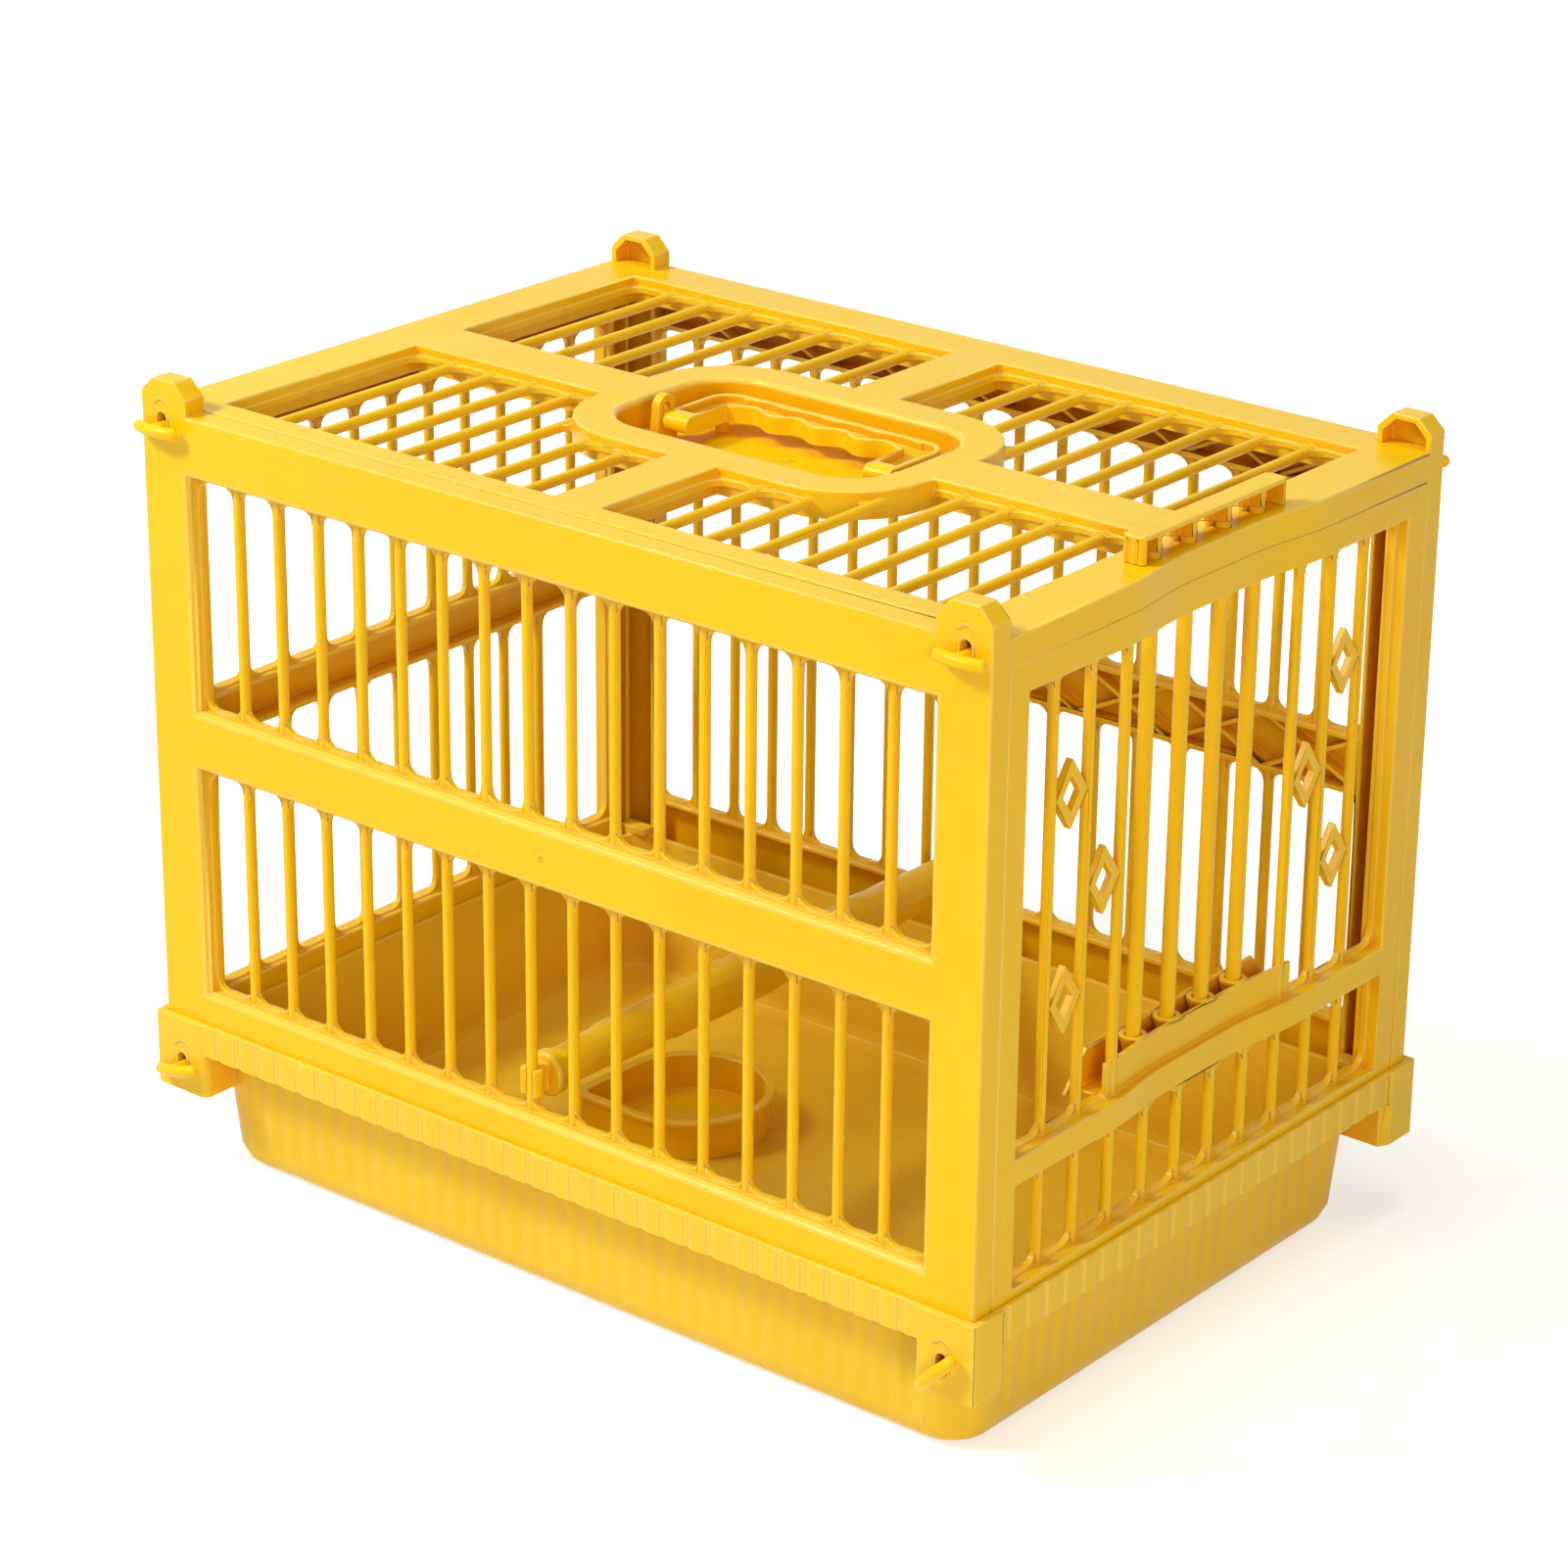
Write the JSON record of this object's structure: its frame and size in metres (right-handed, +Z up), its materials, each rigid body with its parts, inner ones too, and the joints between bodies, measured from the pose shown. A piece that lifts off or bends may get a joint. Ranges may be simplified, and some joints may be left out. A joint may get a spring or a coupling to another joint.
{
  "type": "bird travel carrier",
  "caption": "Small bird travel carrier: barred panels on a deep tray, lift-out comb door at one end, grille lid with folding bail handle, perch and food cup.",
  "frame": {"origin": "centre of the bounding box on the ground, under the tray", "axes": "+X towards the door end along the long side, -Y towards the front grille, +Z up"},
  "size_m": [0.3862, 0.2852, 0.3124],
  "materials": {
    "base_tray": "satin moulded polypropylene",
    "front_panel": "satin moulded polypropylene",
    "back_panel": "satin moulded polypropylene",
    "left_panel": "satin moulded polypropylene",
    "right_panel": "satin moulded polypropylene",
    "lid": "satin moulded polypropylene",
    "perch": "satin moulded polypropylene",
    "perch_clip_front": "satin moulded polypropylene",
    "perch_clip_back": "satin moulded polypropylene",
    "food_bowl": "satin moulded polypropylene",
    "lift_door": "satin moulded polypropylene",
    "carry_handle": "satin moulded polypropylene",
    "pin_top_front_left": "satin moulded polypropylene",
    "pin_top_front_right": "satin moulded polypropylene",
    "pin_top_back_left": "satin moulded polypropylene",
    "pin_top_back_right": "satin moulded polypropylene",
    "pin_foot_front_left": "satin moulded polypropylene",
    "pin_foot_front_right": "satin moulded polypropylene",
    "pin_foot_back_left": "satin moulded polypropylene",
    "pin_foot_back_right": "satin moulded polypropylene"
  },
  "bodies": {
    "cage": {"base_tray": "base_tray", "front_panel": "front_panel", "back_panel": "back_panel", "left_panel": "left_panel", "right_panel": "right_panel", "lid": "lid", "perch": "perch", "perch_clip_front": "perch_clip_front", "perch_clip_back": "perch_clip_back", "food_bowl": "food_bowl"},
    "door": {"lift_door": "lift_door"},
    "handle": {"carry_handle": "carry_handle"},
    "pin_top_front_left_body": {"pin_top_front_left": "pin_top_front_left"},
    "pin_top_front_right_body": {"pin_top_front_right": "pin_top_front_right"},
    "pin_top_back_left_body": {"pin_top_back_left": "pin_top_back_left"},
    "pin_top_back_right_body": {"pin_top_back_right": "pin_top_back_right"},
    "pin_foot_front_left_body": {"pin_foot_front_left": "pin_foot_front_left"},
    "pin_foot_front_right_body": {"pin_foot_front_right": "pin_foot_front_right"},
    "pin_foot_back_left_body": {"pin_foot_back_left": "pin_foot_back_left"},
    "pin_foot_back_right_body": {"pin_foot_back_right": "pin_foot_back_right"}
  },
  "joints": [
    {"name": "door_lift", "type": "slide", "parent": "cage", "child": "door", "axis": [0, 0, 1], "range_m": [0, 0.15]},
    {"name": "handle_fold", "type": "hinge", "parent": "cage", "child": "handle", "pos_m": [0.0064, -0.0123, 0.2969], "axis": [1, 0, 0], "range_deg": [0, 90]},
    {"name": "top_front_left_turn", "type": "hinge", "parent": "cage", "child": "pin_top_front_left_body", "pos_m": [-0.1796, -0.1325, 0.2944], "axis": [0, -1, 0], "range_deg": [0, 90]},
    {"name": "top_front_right_turn", "type": "hinge", "parent": "cage", "child": "pin_top_front_right_body", "pos_m": [0.1796, -0.1325, 0.2944], "axis": [0, -1, 0], "range_deg": [0, 90]},
    {"name": "top_back_left_turn", "type": "hinge", "parent": "cage", "child": "pin_top_back_left_body", "pos_m": [-0.1796, 0.1325, 0.2944], "axis": [0, 1, 0], "range_deg": [0, 90]},
    {"name": "top_back_right_turn", "type": "hinge", "parent": "cage", "child": "pin_top_back_right_body", "pos_m": [0.1796, 0.1325, 0.2944], "axis": [0, 1, 0], "range_deg": [0, 90]},
    {"name": "foot_front_left_turn", "type": "hinge", "parent": "cage", "child": "pin_foot_front_left_body", "pos_m": [-0.1796, -0.1325, 0.0435], "axis": [0, -1, 0], "range_deg": [-12, 78]},
    {"name": "foot_front_right_turn", "type": "hinge", "parent": "cage", "child": "pin_foot_front_right_body", "pos_m": [0.1796, -0.1325, 0.0435], "axis": [0, -1, 0], "range_deg": [-45, 45]},
    {"name": "foot_back_left_turn", "type": "hinge", "parent": "cage", "child": "pin_foot_back_left_body", "pos_m": [-0.1796, 0.1325, 0.0435], "axis": [0, 1, 0], "range_deg": [0, 90]},
    {"name": "foot_back_right_turn", "type": "hinge", "parent": "cage", "child": "pin_foot_back_right_body", "pos_m": [0.1796, 0.1325, 0.0435], "axis": [0, 1, 0], "range_deg": [0, 90]}
  ]
}
